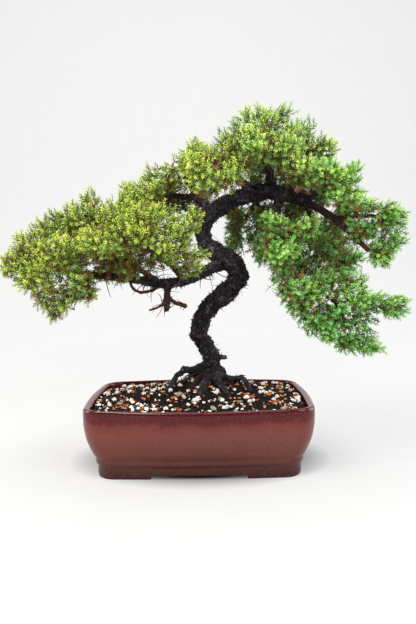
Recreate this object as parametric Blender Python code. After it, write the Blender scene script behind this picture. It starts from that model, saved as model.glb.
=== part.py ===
"""Juniper bonsai in a glazed rectangular pot, modelled in metres with +Z up.

The origin is the middle of the pot's footprint on the surface it stands on. The pot's long
side runs along X and the view from the front looks along +Y. The pot holds the soil, the soil
holds the roots, and trunk, branches and roots are one piece of wood. Each leafy spray of
needles is a node of its own and stands on the cut face of its twig.
"""
import math
import random

import bmesh
import bpy
import numpy as np
from mathutils import Vector
from mathutils.bvhtree import BVHTree

MM = 0.001                   # every size below is in millimetres; meshes are scaled once by this

# Pot
POT_LENGTH = 255.0
POT_WIDTH = 196.0
POT_HEIGHT = 74.0
CORNER_RADIUS = 24.0
LONG_SIDE_BOW = 12.0         # how far each side bows out between its corners, at the rim
SHORT_SIDE_BOW = 3.5
STRAIGHT_INSET = 24.0        # the bow has died out at this inset
FLOOR_TOP = 12.0
UNDERSIDE = 5.0              # the underside is recessed this far above the feet
FOOT_RING = 14.0             # width of the foot ring
FOOT_LENGTH = 58.0           # length of a corner foot along the long side
FOOT_GAP_HEIGHT = 4.0
DRAIN_RADIUS = 8.0
DRAIN_X = 62.0
CORNER_STEPS = 3
SIDE_STEPS = 4
# (height, inset from the rim line) up the outside, over the lip and down the inside
OUTER_PROFILE = [(0, 18.6), (4, 17.4), (12, 17.6), (14.5, 15.2), (19, 14.8), (21, 14), (28, 9.4), (39, 4),
                 (52, 0.8), (70, 0), (73, 1.1), (POT_HEIGHT, 3.2)]
INNER_PROFILE = [(POT_HEIGHT, 6.8), (72.6, 8.4), (64, 9), (40, 12), (22, 22), (FLOOR_TOP, 34)]

# Soil
GAP = 0.3                    # air between two pieces that touch
SOIL_EDGE = 68.0             # height of the soil at the pot's wall
MOUND_HEIGHT = 15.0          # rise of the soil at the foot of the trunk
MOUND_SPREAD = 62.0
GRAVEL_RELIEF = 1.3
# (height, inset from the pot's rim line); the soil has shrunk a little from the curved walls
SOIL_PROFILE = [(FLOOR_TOP + GAP, 38), (23, 26), (40, 13.8), (64, 10.2), (SOIL_EDGE, 9.8)]
SCREEN_SIZE = 27.0           # square plastic mesh over each drain hole
SCREEN_THICKNESS = 1.2
SCREEN_CELLS = 3
SCREEN_BAR = 2.2

# Wood: points along the middle of each limb, (x, y, z, radius)
TRUNK = [(11, 18, 62, 11), (11, 18, 82, 13), (14, 16, 97, 11), (13, 12, 119, 9.6), (0, 8, 143, 9.4),
         (6, 4, 166, 9.3), (21, 2, 183, 9.7), (38, 0, 196, 10.6), (48, -2, 211, 11.4), (41, 0, 225, 11.2),
         (24, 2, 236, 10.6), (10, 4, 248, 9.6), (5, 6, 262, 9.6), (10, 8, 277, 9.4), (25, 8, 291, 9),
         (43, 8, 299, 8.8), (65, 8, 307, 8.6), (86, 5, 308, 8.4), (107, 2, 304, 7.6), (121, 0, 297, 6.4)]
LIMBS = {
    "left": [(30, 0, 227, 8), (12, -6, 218, 6.5), (-9, -14, 208, 6), (-36, -22, 203, 5.6),
             (-69, -30, 209, 4.8), (-104, -34, 213, 4), (-141, -32, 218, 3.2), (-166, -28, 224, 2.4)],
    "left_back": [(-42, -22, 204, 3.6), (-68, 8, 219, 3.2), (-107, 36, 237, 2.6), (-134, 47, 244, 2)],
    "left_front": [(-15, -16, 207, 3.8), (-27, -52, 223, 3.2), (-48, -78, 239, 2.6), (-72, -84, 243, 2)],
    "left_up": [(-69, -30, 209, 3.2), (-83, -28, 242, 2.8), (-108, -24, 264, 2.2), (-130, -14, 270, 1.8)],
    "upper_left": [(17, 8, 286, 5.4), (-1, 20, 303, 4.6), (-27, 30, 307, 3.8), (-54, 35, 302, 2.6)],
    "upper_left_up": [(-1, 20, 303, 3.4), (-13, 10, 325, 2.8), (-20, 4, 338, 2)],
    "crown_left": [(65, 8, 307, 4.8), (49, -12, 319, 4), (28, -30, 329, 3.2), (15, -33, 338, 2.4)],
    "crown": [(86, 5, 308, 6), (84, 6, 330, 5), (76, 2, 352, 4), (71, -1, 368, 2.8)],
    "crown_right": [(104, 2, 305, 4.6), (120, 14, 335, 3.8), (132, 21, 355, 2.8), (140, 24, 361, 2)],
    "right_top": [(121, 0, 297, 4.6), (142, -8, 307, 3.8), (160, -13, 316, 2.6)],
    "right_out": [(121, 0, 297, 5), (155, -16, 274, 4.2), (173, -22, 255, 3.4), (190, -28, 238, 2.4)],
    "right_tip": [(155, -16, 274, 3.2), (176, -24, 276, 2.6), (198, -30, 275, 2)],
    "right_back": [(118, 3, 298, 4.4), (134, 16, 281, 3.8), (146, 28, 256, 3), (157, 36, 231, 2.4),
                   (162, 38, 220, 1.8)],
    "hanging": [(96, 4, 307, 5.6), (89, -10, 279, 5), (86, -20, 250, 4.6), (94, -26, 216, 4),
                (106, -30, 190, 3.4), (122, -33, 163, 2.8), (140, -35, 146, 2.2), (152, -36, 139, 1.8)],
    "runner": [(94, -25, 219, 3.4), (113, -30, 207, 2.8), (130, -36, 195, 2.4), (149, -40, 184, 2),
               (160, -41, 181, 1.6)],
    "back": [(75, 8, 308, 4.6), (72, 44, 300, 3.8), (63, 70, 286, 2.8), (58, 80, 277, 2)],
    "back_right": [(104, 2, 305, 4), (129, 40, 311, 3.2), (151, 62, 302, 2.4), (158, 70, 294, 1.8)],
}
STUBS = {
    "snag": [(-33, -22, 203, 4.4), (-35, -23, 189, 3.6), (-35, -24, 174, 4)],
    "snag_side": [(-35, -23, 188, 3), (-25, -25, 182, 2.4), (-13, -26, 178, 2.8)],
    "snag_twig": [(-36, -24, 183, 1.8), (-45, -25, 177, 1.4), (-55, -27, 174, 1)],
    "low_loop": [(-42, -24, 203, 2.2), (-51, -28, 196, 1.8), (-63, -31, 194, 1.8), (-71, -33, 198, 1.6),
                 (-77, -32, 210, 1.6)],
    "cut_stub": [(14, 12, 115, 4), (25, 11, 115, 3), (32, 10, 115, 2.6)],
}
ROOTS = {
    "left": [(7, 15, 102, 7), (-8, 12, 99, 5), (-18, 8, 101, 4.2), (-27, 4, 94, 3.4), (-34, 0, 83, 2.8),
             (-42, -4, 70, 2)],
    "right": [(19, 13, 104, 6), (30, 9, 92, 3.8), (41, 4, 90, 3.2), (49, 0, 93, 3.3), (55, -3, 87, 2.8),
              (62, -6, 70, 2)],
    "front": [(10, 12, 96, 8), (7, -6, 86, 5), (0, -24, 76, 3.4), (-8, -38, 62, 2)],
    "front_right": [(17, 10, 96, 7), (25, -8, 85, 4.6), (34, -24, 74, 3), (42, -38, 60, 2)],
    "back": [(15, 24, 93, 8), (22, 44, 86, 4.6), (32, 62, 70, 3), (38, 70, 56, 2)],
    "back_left": [(8, 22, 93, 7), (-10, 38, 88, 4.2), (-26, 50, 74, 3), (-36, 56, 58, 2)],
}

# Sprays: each is one leafy twig with one tuft or a chain of tufts, (x, y, z, radius of the tuft)
SPRAYS = {
    "left": [
        [(-206, -8, 221, 23)], [(-190, 12, 258, 21), (-198, 34, 234, 15)],
        [(-176, -42, 203, 18), (-164, -34, 178, 14)], [(-156, 8, 276, 22)], [(-142, -58, 236, 24)],
        [(-124, -52, 202, 17), (-148, -36, 188, 14)], [(-158, 54, 250, 24)], [(-118, -26, 282, 22)],
        [(-94, -78, 248, 24)], [(-100, 52, 218, 19)], [(-88, 6, 284, 23)], [(-56, -81, 262, 21)],
        [(-66, -38, 270, 20), (-34, -60, 268, 18)],
        [(-76, -58, 226, 14), (-46, -52, 236, 15), (-4, -60, 233, 14)], [(-74, 42, 260, 21)],
        [(-94, -36, 234, 16), (-126, -32, 238, 14)], [(-28, -78, 242, 15), (-6, -84, 264, 13)],
    ],
    "upper": [
        [(-72, 38, 310, 20)], [(-44, 14, 328, 17), (-56, -2, 304, 16)], [(-10, 2, 348, 20)],
        [(-38, 58, 308, 21), (2, 60, 300, 17)], [(2, -38, 348, 20), (-2, -50, 324, 16)],
        [(44, -44, 326, 16), (12, -54, 312, 15)], [(50, -20, 342, 18)],
        [(12, 38, 344, 22)],
    ],
    "crown": [
        [(64, -8, 382, 19)], [(90, 4, 387, 20)], [(64, -36, 354, 20)], [(96, -30, 352, 21)],
        [(118, 12, 371, 17)], [(150, 22, 361, 15)], [(70, 40, 334, 17), (80, 44, 366, 24)],
        [(112, -36, 326, 18)], [(104, 44, 334, 16), (128, 56, 352, 22)], [(40, 28, 358, 20)],
    ],
    "right": [
        [(138, -38, 318, 19)], [(168, -24, 306, 16), (174, -16, 324, 12)], [(162, 42, 320, 21)],
        [(160, -38, 292, 15), (184, -34, 288, 12)], [(212, -32, 274, 15)],
        [(206, -31, 238, 12), (218, -32, 246, 9)], [(186, -24, 257, 15)],
        [(148, 60, 262, 20), (178, 68, 274, 18)], [(184, 38, 228, 16)],
        [(120, -36, 260, 17), (80, -38, 262, 14), (76, -38, 242, 10)],
        [(142, -22, 212, 15), (168, -30, 204, 13)],
        [(92, -54, 242, 15), (88, -52, 212, 15), (96, -56, 188, 13)],
        [(126, -4, 226, 16), (154, -6, 244, 15)], [(180, -42, 184, 11), (216, -42, 180, 12)],
        [(120, -56, 194, 12), (112, -54, 170, 14), (136, -54, 150, 12)],
        [(148, -32, 166, 14), (178, -36, 156, 11)], [(170, -36, 135, 11), (190, -36, 131, 11)],
        [(40, 66, 292, 15), (44, 72, 272, 17), (44, 58, 252, 14)], [(82, 42, 284, 15), (78, 40, 258, 14), (78, 40, 238, 12)],
        [(116, 38, 284, 16), (112, 34, 254, 15), (112, 32, 228, 16)],
    ],
}
STEM_RADIUS = 1.4
TWIG_LENGTH = 2.5            # least length of a twig outside its limb
CORE_RADIUS = 3.2            # inner core of a needled shoot
NEEDLE_OUT = 5.2             # how far a needle's tip stands out from the core
NEEDLE_FORWARD = 4.8         # and how far it leans towards the shoot's tip
WHORL_SPACING = 8.9          # three needles in each whorl
SIDE_BARE = 3.0              # a side shoot's length inside its main shoot
SIDE_SHOOT_SHARE = 10.0       # one side shoot for so many millimetres of a tuft's radius
AIR = 0.4                    # least air between the needles of two sprays


def hermite(points, step):
    """A smooth curve through points, read off about every step along its length."""
    knots = [Vector(point) for point in points]
    chords = [max((b - a).length, 0.01) for a, b in zip(knots, knots[1:])]
    slopes = []
    for i in range(len(knots)):
        before, after = max(i - 1, 0), min(i + 1, len(knots) - 1)
        slopes.append((knots[after] - knots[before]) / sum(chords[before:after]))
    curve = []
    for i, chord in enumerate(chords):
        count = max(1, round(chord / step))
        for j in range(count):
            t = j / count
            start, end = knots[i], knots[i + 1]
            curve.append((2 * t**3 - 3 * t**2 + 1) * start + (t**3 - 2 * t**2 + t) * chord * slopes[i]
                         + (3 * t**2 - 2 * t**3) * end + (t**3 - t**2) * chord * slopes[i + 1])
    curve.append(knots[-1])
    return curve


def frames(centres):
    """Direction, side and across vectors that follow a route without twisting."""
    result = []
    side = None
    for i, centre in enumerate(centres):
        ahead, behind = centres[min(i + 1, len(centres) - 1)], centres[max(i - 1, 0)]
        direction = (ahead - behind).normalized()
        side = direction.orthogonal() if side is None else side
        side = (side - direction * side.dot(direction)).normalized()
        result.append((direction, side, direction.cross(side)))
    return result


def loft(rings, pointed=False):
    """Closed shape through rings of equal point counts; pointed when the last ring is one point."""
    sides = len(rings[0])
    body = rings[:-1] if pointed else rings
    vertices = [point for ring in body for point in ring]
    faces = [tuple(reversed(range(sides)))]
    for i in range(len(body) - 1):
        for k in range(sides):
            a, b = i * sides + k, i * sides + (k + 1) % sides
            faces.append((a, b, b + sides, a + sides))
    last = (len(body) - 1) * sides
    if pointed:
        vertices.append(rings[-1])
        faces += [(last + k, last + (k + 1) % sides, len(vertices) - 1) for k in range(sides)]
    else:
        faces.append(tuple(range(last, last + sides)))
    return vertices, faces


def tube(points, sides, step, rough=0.0, seed=0, extra=0.0):
    """Tapered tube along points of (x, y, z, radius), its surface roughened like bark."""
    draw = random.Random(seed)
    route = hermite(points, step)
    centres = [point.to_3d() for point in route]
    rings = []
    for i, (point, centre, (direction, side, across)) in enumerate(zip(route, centres, frames(centres))):
        ring = []
        centre = centre + direction * extra * ((i == len(route) - 1) - (i == 0))
        for k in range(sides):
            angle = math.tau * k / sides
            radius = point.w * (1 + draw.uniform(-rough, rough)) + extra
            ring.append(centre + (side * math.cos(angle) + across * math.sin(angle)) * radius)
        rings.append(ring)
    return loft(rings)


def material(name, colour, roughness, metallic=0.0):
    """A plain Principled material in the part's own colour."""
    made = bpy.data.materials.new(name)
    made.use_nodes = True
    shader = made.node_tree.nodes["Principled BSDF"]
    shader.inputs["Base Color"].default_value = (*colour, 1.0)
    shader.inputs["Roughness"].default_value = roughness
    shader.inputs["Metallic"].default_value = metallic
    made.diffuse_color = (*colour, 1.0)
    return made


def solid(name, shape, look, collection=None):
    """One object from a shape's vertices and faces."""
    vertices, faces = shape
    mesh = bpy.data.meshes.new(name)
    mesh.from_pydata([tuple(Vector(v) * MM) for v in vertices], [], faces)
    mesh.materials.append(look)
    thing = bpy.data.objects.new(name, mesh)
    (collection or bpy.context.scene.collection).objects.link(thing)
    return thing


def apply_modifiers(thing):
    """Replace an object's mesh by its evaluated mesh."""
    thing.update_tag()
    bpy.context.view_layer.update()
    graph = bpy.context.evaluated_depsgraph_get()
    mesh = bpy.data.meshes.new_from_object(thing.evaluated_get(graph))
    look = thing.data.materials[0]
    thing.modifiers.clear()
    thing.data = mesh
    mesh.materials.clear()
    mesh.materials.append(look)
    mesh.polygons.foreach_set("material_index", [0] * len(mesh.polygons))


def keep_main_body(thing):
    """Drop the loose scraps and sealed hollows that a union can leave."""
    shape = bmesh.new()
    shape.from_mesh(thing.data)
    left = set(shape.verts)
    bodies = []
    while left:
        body = {left.pop()}
        front = list(body)
        while front:
            vertex = front.pop()
            for edge in vertex.link_edges:
                other = edge.other_vert(vertex)
                if other not in body:
                    body.add(other)
                    front.append(other)
        left -= body
        bodies.append(body)
    bodies.sort(key=len)
    bmesh.ops.delete(shape, geom=[v for body in bodies[:-1] for v in body], context="VERTS")
    shape.to_mesh(thing.data)
    shape.free()


def fuse(name, shapes, look):
    """Join overlapping closed shapes into one solid."""
    thing = solid(name, shapes[0], look)
    group = bpy.data.collections.new(name + "_pieces")
    bpy.context.scene.collection.children.link(group)
    for shape in shapes[1:]:
        solid(name + "_piece", shape, look, group)
    union = thing.modifiers.new("union", "BOOLEAN")
    union.operation = "UNION"
    union.solver = "MANIFOLD"
    union.operand_type = "COLLECTION"
    union.collection = group
    apply_modifiers(thing)
    for piece in list(group.objects):
        bpy.data.objects.remove(piece)
    bpy.data.collections.remove(group)
    keep_main_body(thing)
    return thing


def cut(thing, cutters):
    """Cut hidden shapes out of a solid."""
    for cutter in cutters:
        cutter.hide_render = True
        cutter.display_type = "WIRE"
        step = thing.modifiers.new("cut", "BOOLEAN")
        step.operation = "DIFFERENCE"
        step.solver = "EXACT"
        step.object = cutter
    apply_modifiers(thing)
    for cutter in cutters:
        bpy.data.objects.remove(cutter)


def box(low, high):
    """A box between two corners."""
    ring = [(low[0], low[1]), (high[0], low[1]), (high[0], high[1]), (low[0], high[1])]
    return loft([[(x, y, z) for x, y in ring] for z in (low[2], high[2])])


def outline(inset, height):
    """The pot's plan at an inset from its rim line: rounded corners joined by bowed sides."""
    bow = max(0.0, 1 - inset / STRAIGHT_INSET)
    bow_x, bow_y = SHORT_SIDE_BOW * bow, LONG_SIDE_BOW * bow
    radius = CORNER_RADIUS - inset * 0.25
    centre_x = POT_LENGTH / 2 - inset - bow_x - radius
    centre_y = POT_WIDTH / 2 - inset * 0.85 - bow_y - radius
    points = []
    for quadrant, (sign_x, sign_y) in enumerate(((1, 1), (-1, 1), (-1, -1), (1, -1))):
        for k in range(CORNER_STEPS + 1):
            angle = math.pi / 2 * (quadrant + k / CORNER_STEPS)
            points.append((sign_x * centre_x + radius * math.cos(angle),
                           sign_y * centre_y + radius * math.sin(angle), height))
        x, y, _ = points[-1]
        for k in range(1, SIDE_STEPS):
            travel, swell = k / SIDE_STEPS, math.sin(math.pi * k / SIDE_STEPS)
            if quadrant in (0, 2):
                points.append((x - sign_y * 2 * centre_x * travel, y + sign_y * bow_y * swell, height))
            else:
                points.append((x + sign_x * bow_x * swell, y + sign_x * 2 * centre_y * travel, height))
    return points


def build_pot():
    """Glazed stoneware pot on four corner feet, with two drain holes."""
    glaze = material("mahogany_glaze", (0.17, 0.045, 0.035), 0.28)
    rings = [outline(inset, height) for height, inset in OUTER_PROFILE + INNER_PROFILE]
    foot_inside = OUTER_PROFILE[0][1] + FOOT_RING
    rings = [outline(foot_inside + 1, UNDERSIDE), outline(foot_inside, 0)] + rings
    pot = solid("pot", loft(rings), glaze)
    half_x, half_y = POT_LENGTH / 2, POT_WIDTH / 2
    foot_x = half_x - OUTER_PROFILE[0][1] - FOOT_LENGTH
    foot_y = half_y - OUTER_PROFILE[0][1] - FOOT_LENGTH * 0.7
    slots = [box((-foot_x, -half_y, -1), (foot_x, half_y, FOOT_GAP_HEIGHT)),
             box((-half_x, -foot_y, -1), (half_x, foot_y, FOOT_GAP_HEIGHT))]
    drains = [tube([(side * DRAIN_X, 0, 0, DRAIN_RADIUS), (side * DRAIN_X, 0, FLOOR_TOP + 6, DRAIN_RADIUS)],
                   12, 50) for side in (-1, 1)]
    cut(pot, [solid("pot_cutter", shape, glaze) for shape in slots + drains])
    pot.data.shade_smooth()
    pot.data.set_sharp_from_angle(angle=math.radians(40))
    return pot


def build_screens():
    """A square of plastic mesh over each drain hole."""
    plastic = material("black_plastic", (0.02, 0.02, 0.022), 0.5)
    half = SCREEN_SIZE / 2
    low = FLOOR_TOP + GAP
    cell = (SCREEN_SIZE - SCREEN_BAR * (SCREEN_CELLS + 1)) / SCREEN_CELLS
    for side, name in ((-1, "screen_left"), (1, "screen_right")):
        x = side * DRAIN_X
        screen = solid(name, box((x - half, -half, low), (x + half, half, low + SCREEN_THICKNESS)), plastic)
        holes = []
        for i in range(SCREEN_CELLS):
            for j in range(SCREEN_CELLS):
                left = x - half + SCREEN_BAR + i * (cell + SCREEN_BAR)
                front = -half + SCREEN_BAR + j * (cell + SCREEN_BAR)
                holes.append(box((left, front, low - 1),
                                 (left + cell, front + cell, low + SCREEN_THICKNESS + 1)))
        cut(screen, [solid("screen_cutter", hole, plastic) for hole in holes])


def soil_height(x, y):
    """Height of the soil: level near the wall, mounded up to the foot of the trunk."""
    away = math.hypot((x - TRUNK[0][0]) * 0.75, y - TRUNK[0][1])
    return SOIL_EDGE + MOUND_HEIGHT * math.exp(-((away / MOUND_SPREAD) ** 2))


def root_shapes(extra):
    """The trunk and roots, made fatter by extra to cut their holes in the soil.

    Their quads are split one way, so that each root and its hole have the same facets.
    """
    shapes = [tube(TRUNK, 8, 14, 0.1, 1, extra)]
    shapes += [tube(points, 5, 14, 0.08, 100 + i, extra) for i, points in enumerate(ROOTS.values())]
    return [(vertices, [part for face in faces for part in
                        ([face[:3], (face[0], *face[2:])] if len(face) == 4 else [face])])
            for vertices, faces in shapes]


def build_soil():
    """Potting mix that fills the pot, with plain holes where the roots go down."""
    look = material("potting_mix", (0.03, 0.022, 0.018), 0.95)
    draw = random.Random(7)
    middle = Vector((TRUNK[0][0], TRUNK[0][1], 0))
    rings = [outline(inset, height) for height, inset in SOIL_PROFILE]
    edge = rings[-1]
    for share in (0.9, 0.74, 0.56, 0.38, 0.2):
        ring = []
        for point in edge:
            x, y, _ = middle + (Vector(point) - middle) * share
            ring.append((x, y, soil_height(x, y) + draw.uniform(-GRAVEL_RELIEF, GRAVEL_RELIEF)))
        rings.append(ring)
    soil = solid("soil", loft(rings), look)
    half = SCREEN_SIZE / 2 + GAP
    top = FLOOR_TOP + SCREEN_THICKNESS + 2 * GAP
    pockets = [box((side * DRAIN_X - half, -half, FLOOR_TOP - 1), (side * DRAIN_X + half, half, top))
               for side in (-1, 1)]
    holes = fuse("root_holes", root_shapes(GAP), look)
    cut(soil, [holes] + [solid("soil_cutter", pocket, look) for pocket in pockets])
    keep_main_body(soil)
    return soil


def segments(points):
    """The straight pieces of a limb, as (start, end, larger radius)."""
    route = hermite(points, 12)
    return [(a.to_3d(), b.to_3d(), max(a.w, b.w)) for a, b in zip(route, route[1:])]


def places_on_wood(centre, wood):
    """Points of the wood near a place, nearest first, each with the wood's radius there."""
    places = []
    for start, end, radius in wood:
        line = end - start
        share = min(max((centre - start).dot(line) / line.length_squared, 0.0), 1.0)
        point = start + line * share
        places.append(((centre - point).length, tuple(point), radius))
    places.sort()
    return [(Vector(point), radius) for _, point, radius in places[:10]]


class Crowd:
    """Every shape that already takes up room, with the spray that it belongs to."""

    def __init__(self):
        self.members = []

    def add(self, shape, owner):
        corners = np.array([tuple(vertex) for vertex in shape[0]])
        tree = BVHTree.FromPolygons([tuple(vertex) for vertex in shape[0]], shape[1])
        self.members.append((corners.min(axis=0), corners.max(axis=0), tree, owner))

    def has_room_for(self, shape, owner):
        corners = np.array([tuple(vertex) for vertex in shape[0]])
        low, high = corners.min(axis=0), corners.max(axis=0)
        tree = None
        for other_low, other_high, other_tree, other in self.members:
            if other == owner or (low > other_high).any() or (high < other_low).any():
                continue
            tree = tree or BVHTree.FromPolygons([tuple(vertex) for vertex in shape[0]], shape[1])
            if tree.overlap(other_tree):
                return False
        return True


def spread(count):
    """Directions spread evenly over a ball."""
    for k in range(count):
        height = 1 - 2 * (k + 0.5) / count
        angle = k * math.pi * (3 - math.sqrt(5))
        flat = math.sqrt(1 - height**2)
        yield Vector((flat * math.cos(angle), flat * math.sin(angle), height))


def needled_shoot(points, bare, extra=0.0):
    """A shoot along points with whorls of three needles, each raised from the shoot's own skin.

    The first bare millimetres have no needles; extra makes the whole shoot fatter.
    """
    route = [point.to_3d() for point in hermite([(*point, 0) for point in points], 2.5)]
    travelled = [0.0]
    for a, b in zip(route, route[1:]):
        travelled.append(travelled[-1] + (b - a).length)
    length = travelled[-1]
    leafy = length - bare - NEEDLE_FORWARD
    whorls = max(2, round(leafy / WHORL_SPACING))
    stops = [0.0, bare] + [bare + leafy * (i + 1) / whorls for i in range(whorls)]
    if bare < STEM_RADIUS * 3:
        stops.pop(1)
    plain = len(stops) - whorls
    centres = []
    for stop in stops:
        i = min(max(np.searchsorted(travelled, stop), 1), len(route) - 1)
        share = (stop - travelled[i - 1]) / (travelled[i] - travelled[i - 1])
        centres.append(route[i - 1].lerp(route[i], share))
    vertices, faces = [], []
    for i, (centre, (direction, side, across)) in enumerate(zip(centres, frames(centres))):
        share = (stops[i] - bare) / (length - bare)
        core = STEM_RADIUS if i < plain else CORE_RADIUS * min(1.0, 0.5 + 2 * share, 0.3 + 1.6 * (1 - share))
        for k in range(6):
            angle = math.tau * k / 6
            out = side * math.cos(angle) + across * math.sin(angle)
            raised = i >= plain and (k + i) % 2 == 0
            vertices.append(centre + out * (core + extra + (NEEDLE_OUT if raised else 0))
                            + direction * (NEEDLE_FORWARD if raised else 0))
    for i in range(len(stops) - 1):
        for k in range(6):
            a, b = i * 6 + k, i * 6 + (k + 1) % 6
            if (k + i) % 2 == 0:
                faces += [(a, b, a + 6), (b, b + 6, a + 6)]
            else:
                faces += [(a, b, b + 6), (a, b + 6, a + 6)]
    last = (len(stops) - 1) * 6
    vertices.append(route[-1] + (route[-1] - route[-2]).normalized() * extra)
    faces += [(last + k, last + (k + 1) % 6, len(vertices) - 1) for k in range(6)]
    faces.append(tuple(reversed(range(6))))
    return vertices, faces


def leader_route(stem, tufts, shift):
    """A spray's main shoot: from its stem through its tufts, ending at the last tuft's edge."""
    places = [Vector(tuft[:3]) + shift for tuft in tufts]
    behind = places[-2] if len(places) > 1 else stem
    ahead = ((places[-1] - behind).normalized() + Vector((0, 0, 0.2))).normalized()
    return [stem, *places, places[-1] + ahead * tufts[-1][3]]


def ways_to_grow(tufts, twiggy, name):
    """Ways to lay a spray's main shoot, the plainest first: (root, cut face, route, bare length)."""
    centre, radius = Vector(tufts[0][:3]), tufts[0][3]
    for reach in range(0, 16, 3):
        ways = list(spread(14)) if reach else [Vector()]
        random.Random(name).shuffle(ways)
        for way in ways:
            shift = way * reach
            for root, wood_radius in places_on_wood(centre + shift, twiggy)[:4]:
                line = centre + shift - root
                spur = max(wood_radius + TWIG_LENGTH, line.length - radius * 1.1)
                if line.length < spur:
                    continue
                face = root + line.normalized() * spur
                route = leader_route(face + line.normalized() * GAP, tufts, shift)
                for bare in (2, 5, 8):
                    yield root, wood_radius, face, route, max(bare, line.length - spur - radius * 0.9)


def plan_sprays():
    """Leave the wood by a short twig for each spray, and lay its main shoot clear of the rest."""
    twiggy = [piece for points in LIMBS.values() for piece in segments(points)]
    twiggy += [piece for piece in segments(TRUNK) if piece[0].z > 240]
    crowd = Crowd()
    for shape in wood_shapes(AIR):
        crowd.add(shape, "wood")
    plans = []
    for area, sprays in SPRAYS.items():
        for number, tufts in enumerate(sprays, 1):
            name = f"spray_{area}_{number:02d}"
            for root, wood_radius, face, route, bare in ways_to_grow(tufts, twiggy, name):
                skin = root + (face - root).normalized() * (wood_radius + 1)
                twig = tube([(*skin, STEM_RADIUS), (*face, STEM_RADIUS)], 4, 100, extra=AIR)
                if (crowd.has_room_for(needled_shoot(route, bare, AIR), name)
                        and crowd.has_room_for(twig, "wood")):
                    break
            crowd.add(needled_shoot(route, bare), name)
            crowd.add(twig, "wood")
            plans.append({"name": name, "area": area, "root": root, "cut_face": face, "route": route,
                          "bare": bare, "radii": [tuft[3] for tuft in tufts]})
    return plans, crowd


def wood_shapes(extra=0.0):
    """Trunk, roots, limbs and dead stubs as overlapping tubes."""
    shapes = root_shapes(extra)
    for i, points in enumerate(LIMBS.values()):
        shapes.append(tube(points, 5 if points[0][3] > 4 else 4, 22, 0.1, 200 + i, extra))
    shapes += [tube(points, 4, 12, 0.1, 300 + i, extra) for i, points in enumerate(STUBS.values())]
    return shapes


def build_wood(plans):
    """Roots, trunk, branches, dead stubs and the cut twigs that carry the sprays, grown as one."""
    bark = material("juniper_bark", (0.035, 0.024, 0.018), 0.9)
    shapes = wood_shapes()
    for plan in plans:
        start, end = plan["root"], plan["cut_face"]
        shapes.append(tube([(*start, STEM_RADIUS), (*end, STEM_RADIUS)], 3, 100))
    wood = fuse("wood", shapes, bark)
    wood.data.shade_smooth()
    wood.data.set_sharp_from_angle(angle=math.radians(50))
    return wood


def build_spray(plan, crowd, look):
    """One leafy spray: its main shoot, and side shoots spread round it where there is room."""
    draw = random.Random(plan["name"])
    route = plan["route"]
    shapes = [needled_shoot(route, plan["bare"])]
    for number, radius in enumerate(plan["radii"]):
        centre = route[1 + number]
        along = (route[2 + number] - route[number]).normalized()
        side = along.orthogonal().normalized()
        across = along.cross(side)
        count = max(1, round(radius / SIDE_SHOOT_SHARE))
        turn = draw.uniform(0, math.tau)
        for k in range(count):
            for attempt in range(24):
                angle = turn + math.tau * (k + draw.uniform(-0.1, 0.1) * attempt) / count
                out = side * math.cos(angle) + across * math.sin(angle)
                start = centre + along * radius * (0.5 * k / count - 0.35)
                size = radius * (1.05 - 0.02 * attempt)
                middle = start + out * size * 0.55 + along * size * draw.uniform(-0.1, 0.2)
                way = out + along * draw.uniform(-0.3, 0.6) + Vector((0, 0, 0.2))
                end = centre + way.normalized() * size
                outer = [start.lerp(middle, 0.6), middle, end]
                whole = [start, middle, end]
                if (crowd.has_room_for(needled_shoot(whole, SIDE_BARE, AIR), plan["name"])
                        and crowd.has_room_for(needled_shoot(outer, 0.5, AIR), None)):
                    shapes.append(needled_shoot(whole, SIDE_BARE))
                    crowd.add(shapes[-1], plan["name"])
                    break
    return fuse(plan["name"], shapes, look)


def main():
    for old in list(bpy.data.objects):
        bpy.data.objects.remove(old)
    build_pot()
    build_screens()
    build_soil()
    plans, crowd = plan_sprays()
    build_wood(plans)
    looks = {
        "left": material("needles_yellow_green", (0.20, 0.29, 0.075), 0.6),
        "upper": material("needles_light_green", (0.165, 0.27, 0.075), 0.6),
        "crown": material("needles_green", (0.13, 0.24, 0.075), 0.6),
        "right": material("needles_deep_green", (0.09, 0.2, 0.075), 0.6),
    }
    for plan in plans:
        build_spray(plan, crowd, looks[plan["area"]])


main()
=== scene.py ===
import math

import bmesh
import bpy
import numpy as np
from mathutils import Matrix, Vector
from mathutils.bvhtree import BVHTree
from mathutils.kdtree import KDTree


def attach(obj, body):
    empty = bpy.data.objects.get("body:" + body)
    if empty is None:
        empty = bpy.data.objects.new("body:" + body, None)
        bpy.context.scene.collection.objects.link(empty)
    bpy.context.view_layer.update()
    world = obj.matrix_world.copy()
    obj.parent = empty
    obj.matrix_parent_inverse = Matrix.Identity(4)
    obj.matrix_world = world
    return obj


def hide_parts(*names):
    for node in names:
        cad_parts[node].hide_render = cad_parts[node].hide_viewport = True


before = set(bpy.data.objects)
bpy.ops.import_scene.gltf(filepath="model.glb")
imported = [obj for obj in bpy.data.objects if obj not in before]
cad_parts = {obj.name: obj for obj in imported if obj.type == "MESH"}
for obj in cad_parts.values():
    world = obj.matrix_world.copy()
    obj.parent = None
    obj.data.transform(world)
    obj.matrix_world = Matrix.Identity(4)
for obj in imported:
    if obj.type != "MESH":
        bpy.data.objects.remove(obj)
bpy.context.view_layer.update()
mm = 0.001               # sizes below are in millimetres, and meshes are scaled by this once
up = np.array((0.0, 0.0, 1.0))


# Small helpers for materials and meshes

# sRGB hex to the linear colour that a shader socket takes
def hexColour(code):
    parts = [int(code[i:i + 2], 16) / 255 for i in (1, 3, 5)]
    return tuple(p / 12.92 if p <= 0.04045 else ((p + 0.055) / 1.055) ** 2.4 for p in parts) + (1.0,)


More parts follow.
